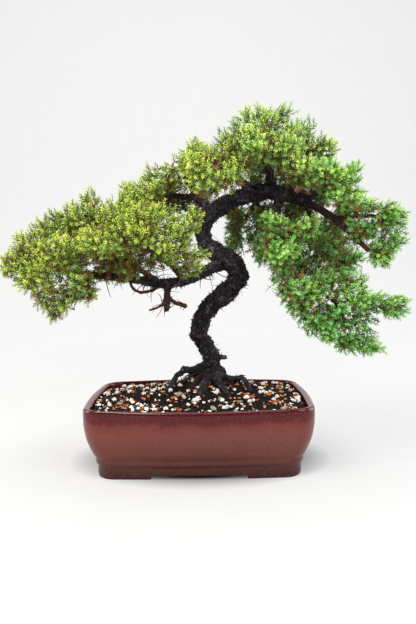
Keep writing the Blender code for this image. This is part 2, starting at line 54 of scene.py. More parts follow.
def addNode(tree, kind, settings=None, links=None):
    node = tree.nodes.new("ShaderNode" + kind)
    for name, value in (settings or {}).items():
        if isinstance(name, int) or name in node.inputs:
            node.inputs[name].default_value = value
        else:
            setattr(node, name, value)
    for name, source in (links or {}).items():
        tree.links.new(source, node.inputs[name])
    return node


def setStops(ramp, stops):
    elements = ramp.color_ramp.elements
    while len(elements) < len(stops):
        elements.new(0.5)
    for element, (place, colour) in zip(elements, stops):
        element.position = place
        element.color = hexColour(colour)
    return ramp


def newMaterial(name, **settings):
    material = bpy.data.materials.new(name)
    material.use_nodes = True
    shader = material.node_tree.nodes["Principled BSDF"]
    for socket, value in settings.items():
        shader.inputs[socket.replace("_", " ")].default_value = value
    place = addNode(material.node_tree, "TexCoord").outputs["Object"]
    return material, material.node_tree, shader, place


# noise of a grain in millimetres, which gives the colour and, where bump is set, the relief
def grainyMaterial(name, stops, grain, detail, coarse=0.5, bump=None, **settings):
    material, tree, shader, place = newMaterial(name, **settings)
    noise = addNode(tree, "TexNoise", {"Scale": 1 / (grain * mm), "Detail": detail, "Roughness": coarse},
                    {"Vector": place})
    tones = setStops(addNode(tree, "ValToRGB", links={"Fac": noise.outputs["Fac"]}), stops)
    tree.links.new(tones.outputs["Color"], shader.inputs["Base Color"])
    if bump:
        relief = addNode(tree, "Bump", {"Strength": bump[0], "Distance": bump[1] * mm},
                         {"Height": noise.outputs["Fac"]})
        tree.links.new(relief.outputs["Normal"], shader.inputs["Normal"])
    return material


def addObject(name, data):
    thing = bpy.data.objects.new(name, data)
    bpy.context.scene.collection.objects.link(thing)
    return thing


def paintGrowth(mesh, growth):
    layer = mesh.color_attributes.new("growth", "FLOAT_COLOR", "POINT")
    layer.data.foreach_set("color", np.asarray(growth, np.float32).ravel())


def makeMesh(name, vertices, faces, materials, faceMaterials=None, growth=None, smooth=True):
    mesh = bpy.data.meshes.new(name)
    vertices = np.asarray(vertices, float) * mm
    mesh.from_pydata(vertices.tolist(), [], faces.tolist() if isinstance(faces, np.ndarray) else faces)
    for material in materials:
        mesh.materials.append(material)
    if faceMaterials is not None:
        mesh.polygons.foreach_set("material_index", np.asarray(faceMaterials, np.int32))
    mesh.polygons.foreach_set("use_smooth", [smooth] * len(mesh.polygons))
    if growth is not None:
        paintGrowth(mesh, growth)
    return addObject(name, mesh)


# the mesh that an object has once its modifiers are applied
def appliedMesh(thing):
    bpy.context.view_layer.update()
    return bpy.data.meshes.new_from_object(thing.evaluated_get(bpy.context.evaluated_depsgraph_get()))


# places ("co") or normals of a mesh's vertices
def vertexVectors(mesh, kind):
    vectors = np.zeros(len(mesh.vertices) * 3)
    mesh.vertices.foreach_get(kind, vectors)
    return vectors.reshape(-1, 3)


# vertices in millimetres and triangles of an object's mesh
def meshArrays(thing):
    mesh = thing.data
    mesh.calc_loop_triangles()
    triangles = np.zeros(len(mesh.loop_triangles) * 3, np.int32)
    mesh.loop_triangles.foreach_get("vertices", triangles)
    return vertexVectors(mesh, "co") / mm, triangles.reshape(-1, 3)


def pointTree(points):
    tree = KDTree(len(points))
    for i, point in enumerate(points):
        tree.insert(point, i)
    tree.balance()
    return tree


def unit(vectors):
    return vectors / np.maximum(np.linalg.norm(vectors, axis=-1, keepdims=True), 1e-9)


def sideVectors(ways, draw):
    side = unit(np.cross(ways, unit(draw.standard_normal(ways.shape))))
    return side, np.cross(ways, side)


# three-sided closed twigs through the stations, all grown at once
def tubes(stations, radii, draw):
    side, across = sideVectors(unit(stations[-1] - stations[0]), draw)
    rings = []
    for centre, radius in zip(stations, radii):
        for k in range(3):
            turn = math.tau * k / 3
            rings.append(centre + (side * math.cos(turn) + across * math.sin(turn)) * radius[:, None])
    last = len(rings) - 3
    pattern = [(2, 1, 0), (last, last + 1, last + 2)]
    for i in range(0, last, 3):
        for k in range(3):
            p, q = i + k, i + (k + 1) % 3
            pattern += [(p, q, q + 3), (p, q + 3, p + 3)]
    faces = (np.arange(len(side))[:, None, None] * len(rings) + np.array(pattern)[None]).reshape(-1, 3)
    return np.stack(rings, 1).reshape(-1, 3), faces


# Camera, at the photograph's height and angle

cameraSet = {
    "place": (0.011, -0.706, 0.219),
    "tiltDegrees": 86.0,
    "rollDegrees": -0.7,
    "focalLength": 35.19,
}
camera = addObject("camera", bpy.data.cameras.new("camera"))
camera.data.lens = cameraSet["focalLength"]
camera.matrix_world = (Matrix.Translation(cameraSet["place"])
                       @ Matrix.Rotation(math.radians(cameraSet["tiltDegrees"]), 4, "X")
                       @ Matrix.Rotation(math.radians(cameraSet["rollDegrees"]), 4, "Z"))
bpy.context.scene.camera = camera
bpy.context.scene.view_settings.view_transform = "Standard"
print("camera placed")


# Pot: slip-cast stoneware, dipped in an iron-red mahogany glaze

potSet = {
    "length": 255.0, "width": 196.0, "height": 74.0,
    "cornerRadius": 24.0, "longBow": 12.0, "shortBow": 3.5, "straightInset": 24.0,
    "footRing": 14.0, "footLength": 58.0, "footGapHeight": 4.0, "underside": 5.0,
    "drainRadius": 8.0, "drainX": 62.0, "drainSides": 32,
    "footInset": 18.6,                # the feet's edge, in from the rim line
    "mixInset": 9.8,                  # the inner wall at the height of the mix
    "sharpDegrees": 38,               # edges sharper than this are not shaded round
    "cornerSteps": 12, "sideSteps": 18, "profileSteps": 4,
    # (height, inset from the rim line), up the outside, over the lip and down the inside
    "profile": [(0, 18.8), (0.8, 18), (4, 17.4), (11, 17.5), (13, 17), (14.4, 15.4), (16.5, 14.6), (19, 14.7),
                (20.6, 14.4), (23, 12.4), (28, 9.2), (39, 4), (52, 0.8), (64, 0.1), (70, 0.1), (72.4, 0.7),
                (73.6, 2), (74, 3.6), (73.8, 6), (72.8, 7.8), (70, 8.5), (64, 9), (40, 12), (22, 22),
                (12, 34)],
}


# plan of the pot: rounded corners joined by bowed sides
def potOutline(inset, height):
    p = potSet
    bow = max(0.0, 1 - inset / p["straightInset"])
    bowX, bowY = p["shortBow"] * bow, p["longBow"] * bow
    radius = p["cornerRadius"] - inset * 0.25
    centreX = p["length"] / 2 - inset - bowX - radius
    centreY = p["width"] / 2 - inset * 0.85 - bowY - radius
    points = []
    for quadrant, (signX, signY) in enumerate(((1, 1), (-1, 1), (-1, -1), (1, -1))):
        for k in range(p["cornerSteps"] + 1):
            angle = math.pi / 2 * (quadrant + k / p["cornerSteps"])
            points.append((signX * centreX + radius * math.cos(angle),
                           signY * centreY + radius * math.sin(angle), height))
        x, y, _ = points[-1]
        for k in range(1, p["sideSteps"]):
            travel, swell = k / p["sideSteps"], math.sin(math.pi * k / p["sideSteps"])
            if quadrant in (0, 2):
                points.append((x - signY * 2 * centreX * travel, y + signY * bowY * swell, height))
            else:
                points.append((x + signX * bowX * swell, y + signX * 2 * centreY * travel, height))
    return points


# Catmull-Rom curve through a turned or lofted profile
def smoothProfile(points, steps):
    curve = []
    for i in range(len(points) - 1):
        places = [min(max(j, 0), len(points) - 1) for j in range(i - 1, i + 3)]
        p0, p1, p2, p3 = (np.array(points[j], float) for j in places)
        for k in range(steps):
            t = k / steps
            curve.append(tuple(0.5 * (2 * p1 + (p2 - p0) * t + (2 * p0 - 5 * p1 + 4 * p2 - p3) * t**2
                                      + (3 * p1 - p0 - 3 * p2 + p3) * t**3)))
    return curve + [points[-1]]


def loftFaces(ringCount, sides, closeEnds=True):
    faces = []
    for i in range(ringCount - 1):
        for k in range(sides):
            a, b = i * sides + k, i * sides + (k + 1) % sides
            faces.append((a, b, b + sides, a + sides))
    if closeEnds:
        last = (ringCount - 1) * sides
        faces = [tuple(reversed(range(sides)))] + faces + [tuple(range(last, last + sides))]
    return faces


def boxPiece(low, high):
    corners = [(x, y, z) for z in (low[2], high[2])
               for x, y in ((low[0], low[1]), (high[0], low[1]), (high[0], high[1]), (low[0], high[1]))]
    return makeMesh("cutter", corners, loftFaces(2, 4), [], smooth=False)


def drainPiece(x):
    radius, sides = potSet["drainRadius"], potSet["drainSides"]
    ring = [(x + radius * math.cos(math.tau * k / sides), radius * math.sin(math.tau * k / sides))
            for k in range(sides)]
    return makeMesh("cutter", [(a, b, z) for z in (-2, 20) for a, b in ring], loftFaces(2, sides), [])


def glazeMaterial():
    # Mahogany glaze: iron red broken to plum and pinkish brown where it lies thin, glassy and
    # darker where it pooled under the lip, with fine pale speckle from the clay
    glaze, tree, shader, place = newMaterial("glazedStoneware", IOR=1.5, Coat_Weight=0.3,
                                             Coat_Roughness=0.06, Specular_IOR_Level=0.15)
    height = addNode(tree, "SeparateXYZ", links={0: place}).outputs["Z"]
    cloud = addNode(tree, "TexNoise", {"Scale": 1 / 0.02, "Detail": 6.0, "Roughness": 0.68},
                    {"Vector": place})
    lifted = addNode(tree, "Math", {"operation": "MULTIPLY_ADD", 1: 0.016, 2: -0.008},
                     {0: cloud.outputs["Fac"]})
    level = addNode(tree, "Math", {"operation": "ADD"}, {0: height, 1: lifted.outputs[0]})
    share = addNode(tree, "MapRange", {"From Min": 0.0, "From Max": 0.074}, {"Value": level.outputs[0]})
    # the colour follows height alone: darkest at the foot, brown on the body, dark again in a band under the
    # lip
    bands = setStops(addNode(tree, "ValToRGB", links={"Fac": share.outputs[0]}),
                     [(0.0, "#2c1210"), (0.10, "#3a1713"), (0.22, "#54241c"), (0.40, "#6c372c"),
                      (0.66, "#743b31"), (0.78, "#6c2e26"), (0.85, "#520c0e"), (1.0, "#44090c")])
    # speckle of about 1 mm, as the unmelted iron in the glaze
    speckle = addNode(tree, "TexNoise", {"Scale": 1 / 0.0016, "Detail": 3.0, "Roughness": 0.7},
                      {"Vector": place})
    spots = addNode(tree, "MapRange", {"From Min": 0.46, "From Max": 0.64, "To Max": 0.62},
                    {"Value": speckle.outputs["Fac"]})
    dark = addNode(tree, "Mix", {"data_type": "RGBA", "blend_type": "MIX", 7: hexColour("#2c1012")},
                   {0: spots.outputs[0], 6: bands.outputs["Color"]})
    fleck = addNode(tree, "TexNoise", {"Scale": 1 / 0.0016, "Detail": 2.0}, {"Vector": place})
    pale = addNode(tree, "MapRange", {"From Min": 0.56, "From Max": 0.76, "To Max": 0.3},
                   {"Value": fleck.outputs["Fac"]})
    colour = addNode(tree, "Mix", {"data_type": "RGBA", 7: hexColour("#96685c")},
                     {0: pale.outputs[0], 6: dark.outputs[2]})
    tree.links.new(colour.outputs[2], shader.inputs["Base Color"])
    gloss = addNode(tree, "MapRange", {"From Min": 0.056, "From Max": 0.066, "To Min": 0.38, "To Max": 0.14},
                    {"Value": level.outputs[0]})
    tree.links.new(gloss.outputs[0], shader.inputs["Roughness"])
    ripple = addNode(tree, "TexNoise", {"Scale": 1 / 0.0022, "Detail": 3.0}, {"Vector": place})
    bump = addNode(tree, "Bump", {"Strength": 0.18, "Distance": 0.0004}, {"Height": ripple.outputs["Fac"]})
    tree.links.new(bump.outputs["Normal"], shader.inputs["Normal"])
    return glaze


def buildPot():
    p = potSet
    profile = smoothProfile(p["profile"], p["profileSteps"])
    footInside = p["profile"][0][1] + p["footRing"]
    rings = [potOutline(footInside + 1, p["underside"]), potOutline(footInside, 0)]
    rings += [potOutline(inset, height) for height, inset in profile]
    sides = len(rings[0])
    pot = makeMesh("glazedPot", [v for ring in rings for v in ring], loftFaces(len(rings), sides),
                   [glazeMaterial()])
    halfX, halfY = p["length"] / 2, p["width"] / 2
    footX = halfX - p["footInset"] - p["footLength"]
    footY = halfY - p["footInset"] - p["footLength"] * 0.7
    cutters = [boxPiece((-footX, -halfY, -1), (footX, halfY, p["footGapHeight"])),
               boxPiece((-halfX, -footY, -1), (halfX, footY, p["footGapHeight"])),
               drainPiece(-p["drainX"]), drainPiece(p["drainX"])]
    for cutter in cutters:
        step = pot.modifiers.new("cut", "BOOLEAN")
        step.operation = "DIFFERENCE"
        step.solver = "EXACT"
        step.object = cutter
    mesh = appliedMesh(pot)
    pot.modifiers.clear()
    pot.data = mesh
    for cutter in cutters:
        bpy.data.objects.remove(cutter)
    mesh.polygons.foreach_set("use_smooth", [True] * len(mesh.polygons))
    mesh.set_sharp_from_angle(angle=math.radians(p["sharpDegrees"]))
    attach(pot, "root")
    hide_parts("pot")
    return pot


pot = buildPot()
print("pot", len(pot.data.polygons), "faces")


# Shape of the mix in the pot, which the roots follow as well

soilSet = {
    "edge": 68.0, "mound": 15.0, "spread": 62.0, "middle": (11.0, 18.0),
    "heap": 11.0, "heapSpread": 25.0,      # mix and shed bark gathered against the trunk
    "rings": 46, "relief": 2.0,
    # loose pieces: how many, their sizes, flatness, unevenness, detail, how proud they lie and seed, then
    # for the look the noise's grain, the roughness and the tones
    "loose": {
        "perlite": (390, (1.8, 6.0), 1.0, 0.26, 2, 0.10, 21,         # expanded and white
                    1.5, 0.9, [(0.3, "#a3978a"), (0.5, "#ded6cb"), (0.7, "#f6f2eb")]),
        "barkCrumbs": (1450, (1.5, 4.5), 1.0, 0.28, 1, 0.05, 22,     # damp and dull
                       3.0, 0.9, [(0.3, "#060404"), (0.55, "#130d0b"), (0.75, "#3a261b")]),
        "barkChips": (350, (2.0, 7.5), 0.4, 0.3, 1, 0.5, 23,         # dry and orange
                      6.0, 0.85, [(0.3, "#4a2612"), (0.5, "#a8582a"), (0.7, "#e2a468")]),
        "oldBarkFlakes": (16, (6.0, 12.0), 0.16, 0.15, 2, 1.2, 24,   # weathered grey
                          3.0, 0.9, [(0.3, "#4a4a3e"), (0.5, "#7d7b6a"), (0.7, "#a5a291")]),
    },
}


def soilHeight(x, y):
    away = np.hypot((x - soilSet["middle"][0]) * 0.75, y - soilSet["middle"][1])
    mound = soilSet["mound"] * np.exp(-((away / soilSet["spread"]) ** 2))
    return soilSet["edge"] + mound + soilSet["heap"] * np.exp(-((away / soilSet["heapSpread"]) ** 2))


# Wood: the trunk, limbs, roots and twigs of the frame, remeshed and given fissured bark

woodSet = {
    "voxel": 0.85,           # mm between points while the bark is carved
    "keep": 0.38,            # share of the faces kept afterwards
    "relief": 0.14,          # bark relief as a share of the limb's thickness
    "mostRelief": 2.6,
    "reliefShares": (0.36, 0.32, 0.42),            # of the fibres, the knots and the grit
    "fibrePasses": 18, "knotPasses": 30, "gritPasses": 3,  # more passes, longer fibres and wider knots
    "ownWeight": 0.35,       # how much a point keeps of itself while it is smoothed
    "swell": 0.35, "evenPasses": 9, "mostLost": 1.2,
    "thickest": 20.0, "rayStart": 0.15, "rayReach": 24, "thickPasses": 10,
    "branch": (3, 13, 175),  # thickness from and to, and the height above which, wiry twigs stay
    "fibresAbove": 90,
    "shreds": 4600,          # torn scales that stand off the bark
    "shredLength": (1.2, 4.4),
    "fineRoots": 240,
    "rootCollar": (11.0, 17.0, 92.0),
    "deadTwigs": (260, (6, 22), (0.35, 0.7)),      # how many, their lengths, their radii
    "barkFibres": (130, (3, 12), (0.2, 0.34)),
    "stout": 9.5,            # thickness from which a limb no longer carries leaves
    "dampBelow": 118.0,      # roots and the foot of the trunk stay dark
}


def barkMaterial():
    # Juniper bark: thin, shedding, nearly black and damp on the trunk, red-brown on young twigs
    bark, tree, shader, place = newMaterial("juniperBark", Roughness=0.8, IOR=1.45, Specular_IOR_Level=0.35)
    growth = addNode(tree, "SeparateColor", links={0: addNode(tree, "Attribute",
                     {"attribute_name": "growth"}).outputs["Color"]})
    # painted shade and highlight: the relief's height, in the growth attribute's green, darkens the bark's
    # grooves and lightens its ridges
    relief = setStops(addNode(tree, "ValToRGB", links={"Fac": growth.outputs[1]}),
                      [(0.0, "#060506"), (0.45, "#151215"), (0.75, "#2f2a2e"), (1.0, "#625c62")])
    grain = addNode(tree, "TexNoise", {"Scale": 1 / 0.0025, "Detail": 4.0, "Roughness": 0.7},
                    {"Vector": place})
    twig = setStops(addNode(tree, "ValToRGB", links={"Fac": grain.outputs["Fac"]}),
                    [(0.3, "#33180f"), (0.6, "#65361f"), (0.8, "#965c36")])
    thin = setStops(addNode(tree, "ValToRGB", links={"Fac": growth.outputs[0]}),
                    [(0.0, "#ffffff"), (0.32, "#bcbcbc"), (0.60, "#000000")])
    colour = addNode(tree, "Mix", {"data_type": "RGBA"},
                     {0: thin.outputs["Color"], 6: relief.outputs["Color"], 7: twig.outputs["Color"]})
    tree.links.new(colour.outputs[2], shader.inputs["Base Color"])
    bump = addNode(tree, "Bump", {"Strength": 0.6, "Distance": 0.0006}, {"Height": grain.outputs["Fac"]})
    tree.links.new(bump.outputs["Normal"], shader.inputs["Normal"])
    return bark


# draws each vertex's value towards its neighbours', by the weight of the edge between them
def smoothed(values, edges, weights, passes):
    own = woodSet["ownWeight"]
    share = np.full(len(values), own)
    for a in (0, 1):
        np.add.at(share, edges[:, a], weights)
    if values.ndim > 1:
        share, weights = share[:, None], weights[:, None]
    for _ in range(passes):
        total = values * own
        for a, b in ((0, 1), (1, 0)):
            np.add.at(total, edges[:, a], values[edges[:, b]] * weights)
        values = total / share
    return values


def unevenness(count, edges, weights, passes, draw):
    field = smoothed(draw.standard_normal(count), edges, weights, passes)
    return field / field.std()


# the way a limb runs past each point, from the spread of the points around it
def limbDirections(points, draw):
    sample = points[draw.choice(len(points), min(len(points), 9000), replace=False)]
    centres = sample[:1500]
    directions = []
    for centre in centres:
        near = sample[((sample - centre) ** 2).sum(1) < 17**2]
        spread = np.linalg.eigh(np.cov(near.T))[1]
        directions.append(spread[:, 2])
    tree = pointTree(centres)
    return np.array([directions[tree.find(point)[1]] for point in points])


# middles and normals of faces drawn by area and by a weight for each vertex
def pickFaces(mesh, points, weight, count, draw):
    corners = np.array([polygon.vertices[:3] for polygon in mesh.polygons])
    first, second, third = points[corners.T]
    crossed = np.cross(second - first, third - first)
    chance = np.linalg.norm(crossed, axis=1) * weight[corners[:, 0]]
    picked = draw.choice(len(corners), count, p=chance / chance.sum())
    return points[corners[picked]].mean(1), unit(crossed[picked])


# small torn scales standing off the bark, as closed four-faced points
def growShreds(mesh, points, thick, draw):
    count = woodSet["shreds"]
    feet, normals = pickFaces(mesh, points, np.clip(thick / 12, 0.05, 1) ** 1.5, count, draw)
    side, across = sideVectors(normals, draw)
    length = draw.uniform(*woodSet["shredLength"], (count, 1))
    width = draw.uniform(0.6, 1.5, (count, 1))
    base = feet - normals * 0.5
    tips = feet + normals * length * 0.85 + side * length * 0.55
    vertices = np.stack([base + across * width, base - across * width, base - side * width, tips], 1)
    pattern = np.array([(0, 1, 2), (0, 3, 1), (1, 3, 2), (2, 3, 0)])
    growth = np.ones((count, 4, 4))
    growth[:, :, 0] = np.where(draw.uniform(0, 1, (count, 1)) < 0.06, 0.1, 1)   # a few rusty ones
    growth[:, :, 1] = draw.uniform(0.3, 0.95, (count, 1))
    shreds = makeMesh("barkShreds", vertices.reshape(-1, 3),
                      (pattern[None] + np.arange(count)[:, None, None] * 4).reshape(-1, 3),
                      [barkLook], growth=growth.reshape(-1, 4), smooth=False)
    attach(shreds, "root")


# bare, wiry twigs left along the branches where old leaves have fallen, or loose bark fibres
def growWires(name, mesh, points, where, settings, draw):
    count, lengths, sizes = settings
    feet, normals = pickFaces(mesh, points, where, count, draw)
    length = draw.uniform(*lengths, (count, 1))
    ways = unit(normals + draw.normal(0, 0.5, feet.shape) - up * 0.15)
    turn = draw.normal(0, 0.35, feet.shape)
    stations = [feet - normals * 0.6]
    for k in range(1, 5):
        stations.append(feet + (ways * k / 4 + turn * (k / 4) ** 2) * length)
    size = draw.uniform(*sizes, count)
    vertices, faces = tubes(stations, [size * share for share in (1, 0.95, 0.85, 0.7, 0.45)], draw)
    wires = makeMesh(name, vertices, faces, [twigLook])
    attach(wires, "root")


# fibrous roots that fill the room between the big ones at the foot of the trunk
def growFineRoots():
    draw = np.random.default_rng(8)
    count = woodSet["fineRoots"]
    angle = draw.uniform(0, math.tau, count)
    ray = np.stack([np.cos(angle) * 1.15, np.sin(angle), np.zeros(count)], 1)
    bend = np.stack([-np.sin(angle), np.cos(angle), np.zeros(count)], 1) * draw.normal(0, 6, (count, 1))
    start = np.array(woodSet["rootCollar"]) + up * draw.uniform(-8, 9, (count, 1))
    span = draw.uniform(20, 58, (count, 1))
    stations = []
    for k in range(7):
        t = k / 6
        place = start + ray * (5 + span * t) + bend * t**2 + draw.normal(0, 0.9, (count, 3))
        floor = soilHeight(place[:, 0], place[:, 1]) - 1.5 * t
        low = floor + draw.uniform(-0.8, 0.8, count)
        place[:, 2] = np.maximum(place[:, 2] - span[:, 0] * 0.75 * t**1.4, low)
        stations.append(place)
    size = draw.uniform(0.5, 1.5, count)
    vertices, faces = tubes(stations, [size * (1 - 0.11 * k) for k in range(7)], draw)
    growth = np.tile((0.5, 0.5, 0.0, 1.0), (len(vertices), 1))
    roots = makeMesh("fineRoots", vertices, faces, [barkLook], growth=growth)
    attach(roots, "root")


def buildWood():
    w = woodSet
    draw = np.random.default_rng(11)
    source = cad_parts["wood"]
    rough = addObject("roughWood", source.data.copy())
    swell = rough.modifiers.new("swell", "DISPLACE")
    swell.strength = w["swell"] * mm
    swell.mid_level = 0.0
    voxels = rough.modifiers.new("voxels", "REMESH")
    voxels.mode = "VOXEL"
    voxels.voxel_size = w["voxel"] * mm
    mesh = appliedMesh(rough)
    bpy.data.objects.remove(rough)
    count = len(mesh.vertices)
    points = vertexVectors(mesh, "co") / mm
    edges = np.zeros(len(mesh.edges) * 2, np.int32)
    mesh.edges.foreach_get("vertices", edges)
    edges = edges.reshape(-1, 2)
    even = np.ones(len(edges))
    start = points
    points = smoothed(points, edges, even, w["evenPasses"])
    mesh.vertices.foreach_set("co", (points * mm).ravel())
    mesh.update()
    normals = vertexVectors(mesh, "normal")
    # smoothing thins the twigs, so each point goes back out by what it lost
    lost = smoothed(((start - points) * normals).sum(1), edges, even, 4)
    points += normals * np.clip(lost, 0, w["mostLost"])[:, None]
    tree = BVHTree.FromPolygons(points.tolist(), [tuple(p.vertices) for p in mesh.polygons])
    thick = np.full(count, w["thickest"])
    for i in range(count):
        inside = Vector(points[i] - normals[i] * w["rayStart"])
        hit = tree.ray_cast(inside, Vector(-normals[i]), w["rayReach"])
        if hit[3] is not None:
            thick[i] = hit[3] + w["rayStart"]
    thick = smoothed(thick, edges, even, w["thickPasses"])
    along = limbDirections(points, draw)
    way = unit(points[edges[:, 0]] - points[edges[:, 1]])
    aligned = (way * along[edges[:, 0]]).sum(1) ** 4 + 0.015
    fibre = unevenness(count, edges, aligned, w["fibrePasses"], draw)
    knots = unevenness(count, edges, even, w["knotPasses"], draw)
    grit = unevenness(count, edges, even, w["gritPasses"], draw)
    ofFibre, ofKnots, ofGrit = w["reliefShares"]
    relief = ofFibre * np.tanh(fibre) + ofKnots * np.tanh(knots * 0.8) + ofGrit * np.tanh(grit)
    height = np.minimum(thick * w["relief"], w["mostRelief"])
    points += normals * (relief * height)[:, None]
    mesh.vertices.foreach_set("co", (points * mm).ravel())
    growth = np.ones((count, 4), np.float32)
    growth[:, 0] = np.clip(thick / 16 + (points[:, 2] < w["dampBelow"]) * 0.4, 0, 1)
    # the relief also colours the bark: painted shade in the grooves, painted highlight on the ridges
    growth[:, 1] = np.clip(relief * 0.5 + 0.5, 0, 1)
    paintGrowth(mesh, growth)
    growShreds(mesh, points, thick, draw)
    thin, stout, low = w["branch"]
    branch = (thick > thin) & (thick < stout) & (points[:, 2] > low)
    growWires("deadTwigs", mesh, points, branch, w["deadTwigs"], draw)
    growWires("barkFibres", mesh, points, ~branch & (points[:, 2] > w["fibresAbove"]), w["barkFibres"], draw)
    mesh.materials.clear()
    mesh.materials.append(barkLook)
    mesh.polygons.foreach_set("material_index", np.zeros(len(mesh.polygons), np.int32))
    mesh.polygons.foreach_set("use_smooth", [True] * len(mesh.polygons))
    wood = addObject("barkedWood", mesh)
    fewer = wood.modifiers.new("fewer", "DECIMATE")
    fewer.ratio = w["keep"]
    wood.data = appliedMesh(wood)
    wood.modifiers.clear()
    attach(wood, "root")
    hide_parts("wood")
    return wood, points[(thick > w["stout"]) & (points[:, 2] > w["dampBelow"])][::9]


barkLook = barkMaterial()
# Young juniper twig: smooth red-brown to orange bark
twigLook = grainyMaterial("youngTwig", [(0.3, "#3a1d0f"), (0.55, "#6b391b"), (0.75, "#985727")], 4.0, 2.0,
                          Roughness=0.7, IOR=1.45)
wood, stoutWood = buildWood()
growFineRoots()
print("wood", len(wood.data.polygons), "faces")


# Canopy: the room that the leaves fill, which is the sprays' solids with the clefts between them closed

canopySet = {
    "cell": 4.0,             # mm, side of the cells that the room is counted in
    "margin": 32.0,
    "skin": 3.8,             # leaves stand this far out of the sprays' solids
    "cleft": 15.0,           # and clefts up to about twice this wide are closed over
    "shellCells": 2,         # green shoots end within this many cells of the outside
    "collar": 9.0,           # leaves crowd round the twig's foot this far out
    "woodGap": 4.0,
    "skinGap": 2.2,          # between the points that stand for a spray's surface
    "collarPoints": 90, "collarOut": 5.0,
}


def ballSteps(radius):
    line = np.arange(-int(radius), int(radius) + 1)
    steps = np.stack(np.meshgrid(line, line, line, indexing="ij"), -1).reshape(-1, 3)
    return steps[(steps**2).sum(1) <= radius**2]


def swollen(room, radius):
    result = room.copy()
    for step in ballSteps(radius):
        result |= np.roll(room, step, axis=(0, 1, 2))
    return result


# points spread over a surface, about one for each square of the gap
def sampleSkin(points, triangles, gap, draw):
    corners = points[triangles]
    area = np.linalg.norm(np.cross(corners[:, 1] - corners[:, 0], corners[:, 2] - corners[:, 0]), axis=1) / 2
    picked = draw.choice(len(triangles), int(area.sum() / gap**2), p=area / area.sum())
    blend = draw.dirichlet((1, 1, 1), len(picked))
    return (corners[picked] * blend[:, :, None]).sum(1)


# cells of the canopy, how deep each lies, and the way out of it
def buildRoom(skins):
    c = canopySet
    low = skins.min(0) - c["margin"]
    shape = np.ceil((skins.max(0) + c["margin"] - low) / c["cell"]).astype(int)
    room = np.zeros(shape, bool)
    room[tuple(((skins - low) / c["cell"]).astype(int).T)] = True
    full = swollen(room, (c["skin"] + c["cleft"]) / c["cell"])
    room = ~swollen(~full, c["cleft"] / c["cell"])
    depth = np.zeros(shape, int)
    inner = room
    for _ in range(6):
        depth += inner
        inner = ~swollen(~inner, 1)
    soft = room.astype(float)
    for _ in range(4):
        soft = sum(np.roll(soft, step, axis=(0, 1, 2)) for step in ballSteps(1)) / 7
    outward = -np.stack(np.gradient(soft), -1)
    return low, depth, outward


# share of the sky that lights each point past the canopy's cells
def skySeen(points, low, depth):
    s = leafSet
    seen, most = np.zeros(len(points)), 0.0
    for k in range(s["skyWays"]):
        height = 0.08 + 0.9 * (k + 0.5) / s["skyWays"]
        turn = k * math.pi * (3 - math.sqrt(5))
        way = np.array((math.cos(turn), math.sin(turn), 0.0)) * math.sqrt(1 - height**2) + up * height
        blocked = np.zeros(len(points))
        for step in range(2, s["skySteps"]):
            cells = ((points + way * step * canopySet["cell"] - low) / canopySet["cell"]).astype(int)
            cells = np.clip(cells, 0, np.array(depth.shape) - 1)
            blocked += depth[tuple(cells.T)] > 0
        seen += height * np.exp(-blocked * s["skyBlock"])
        most += height
    return seen / most


# the points that lie furthest from each other
def pickSpread(points, count):
    chosen = [0]
    away = ((points - points[0]) ** 2).sum(1)
    while len(chosen) < min(count, len(points)):
        chosen.append(int(away.argmax()))
        away = np.minimum(away, ((points - points[chosen[-1]]) ** 2).sum(1))
    return np.array(chosen)


# Foliage: awl-shaped needles in whorls of three on short shoots, grown out to the canopy's skin

leafSet = {
    "shoots": 7050,          # green shoots over the whole tree
    "inner": 1150,           # older shoots inside it
    "reach": (7.5, 13.0),    # length of a shoot
    "leaders": 0.13,         # share of shoots that run on further than their neighbours
    "leaderReach": 6.0,
    "whorlGap": 1.5,
    "ways": (0.55, 0.45, 0.30),  # how much a shoot follows the skin, its twig's foot and chance
    "sag": 0.06,
    "needle": (4.1, 5.5),    # length of a full-grown needle
    "needleWidth": 1.55,
    "needleKeel": 0.5,
    "needleAngle": 66.0,     # degrees off the shoot, closing towards its tip
    "cleftShade": 0.35,      # painted shade and age: how much darker the shoots are that stand in a cleft
    "cleft": (3.0, 7.0),     # a cleft starts this far off the frame's sprays, and is deepest this much on
    "darkShade": 0.55,       # and those that other leaves keep the sky from
    "sky": (0.20, 0.57),     # share of the sky seen by the darkest and by the brightest shoots
    "skyWays": 24, "skySteps": 28, "skyBlock": 0.14,
    "bareCore": (14.0, 70.0, 0.85),   # painted shade and age: darkest this near the stout wood, fading out to here, and how much
    "coreRise": 12.0,        # but not above it by more than this
    "oldWhorlGap": 4.6,      # sparser old needles along the inner twigs
    "twigRadius": 0.42,
    "dead": (0.02, 0.06, 0.32),  # share of shoots that have browned: anywhere, below, and in the dark
}
# each part of the tree: how much its shoots turn up, how far they stray from the frame's sprays in
# millimetres, how densely they stand, how much cooler the green turns lower down, and their greens from old
# and in painted shade to young and lit
areas = {
    "left": {"lift": 0.24, "stray": 24.0, "density": 1.0, "blue": 0.25,
             "greens": ["#2a3408", "#66861a", "#b0c22a", "#dce048", "#eeee80"]},
    "upper": {"lift": 0.28, "stray": 24.0, "density": 0.9, "blue": 0.0,
              "greens": ["#28360a", "#64861c", "#acc434", "#dae454", "#f0f290"]},
    "crown": {"lift": 0.30, "stray": 11.0, "density": 0.9, "blue": 0.0,
              "greens": ["#22380c", "#5a8c26", "#a4c846", "#dae874", "#f4f6b4"]},
    "right": {"lift": 0.08, "stray": 10.0, "density": 1.25, "blue": 0.5,
              "greens": ["#1a340c", "#448a24", "#8cc840", "#c4e668", "#e8f4a2"]},
}


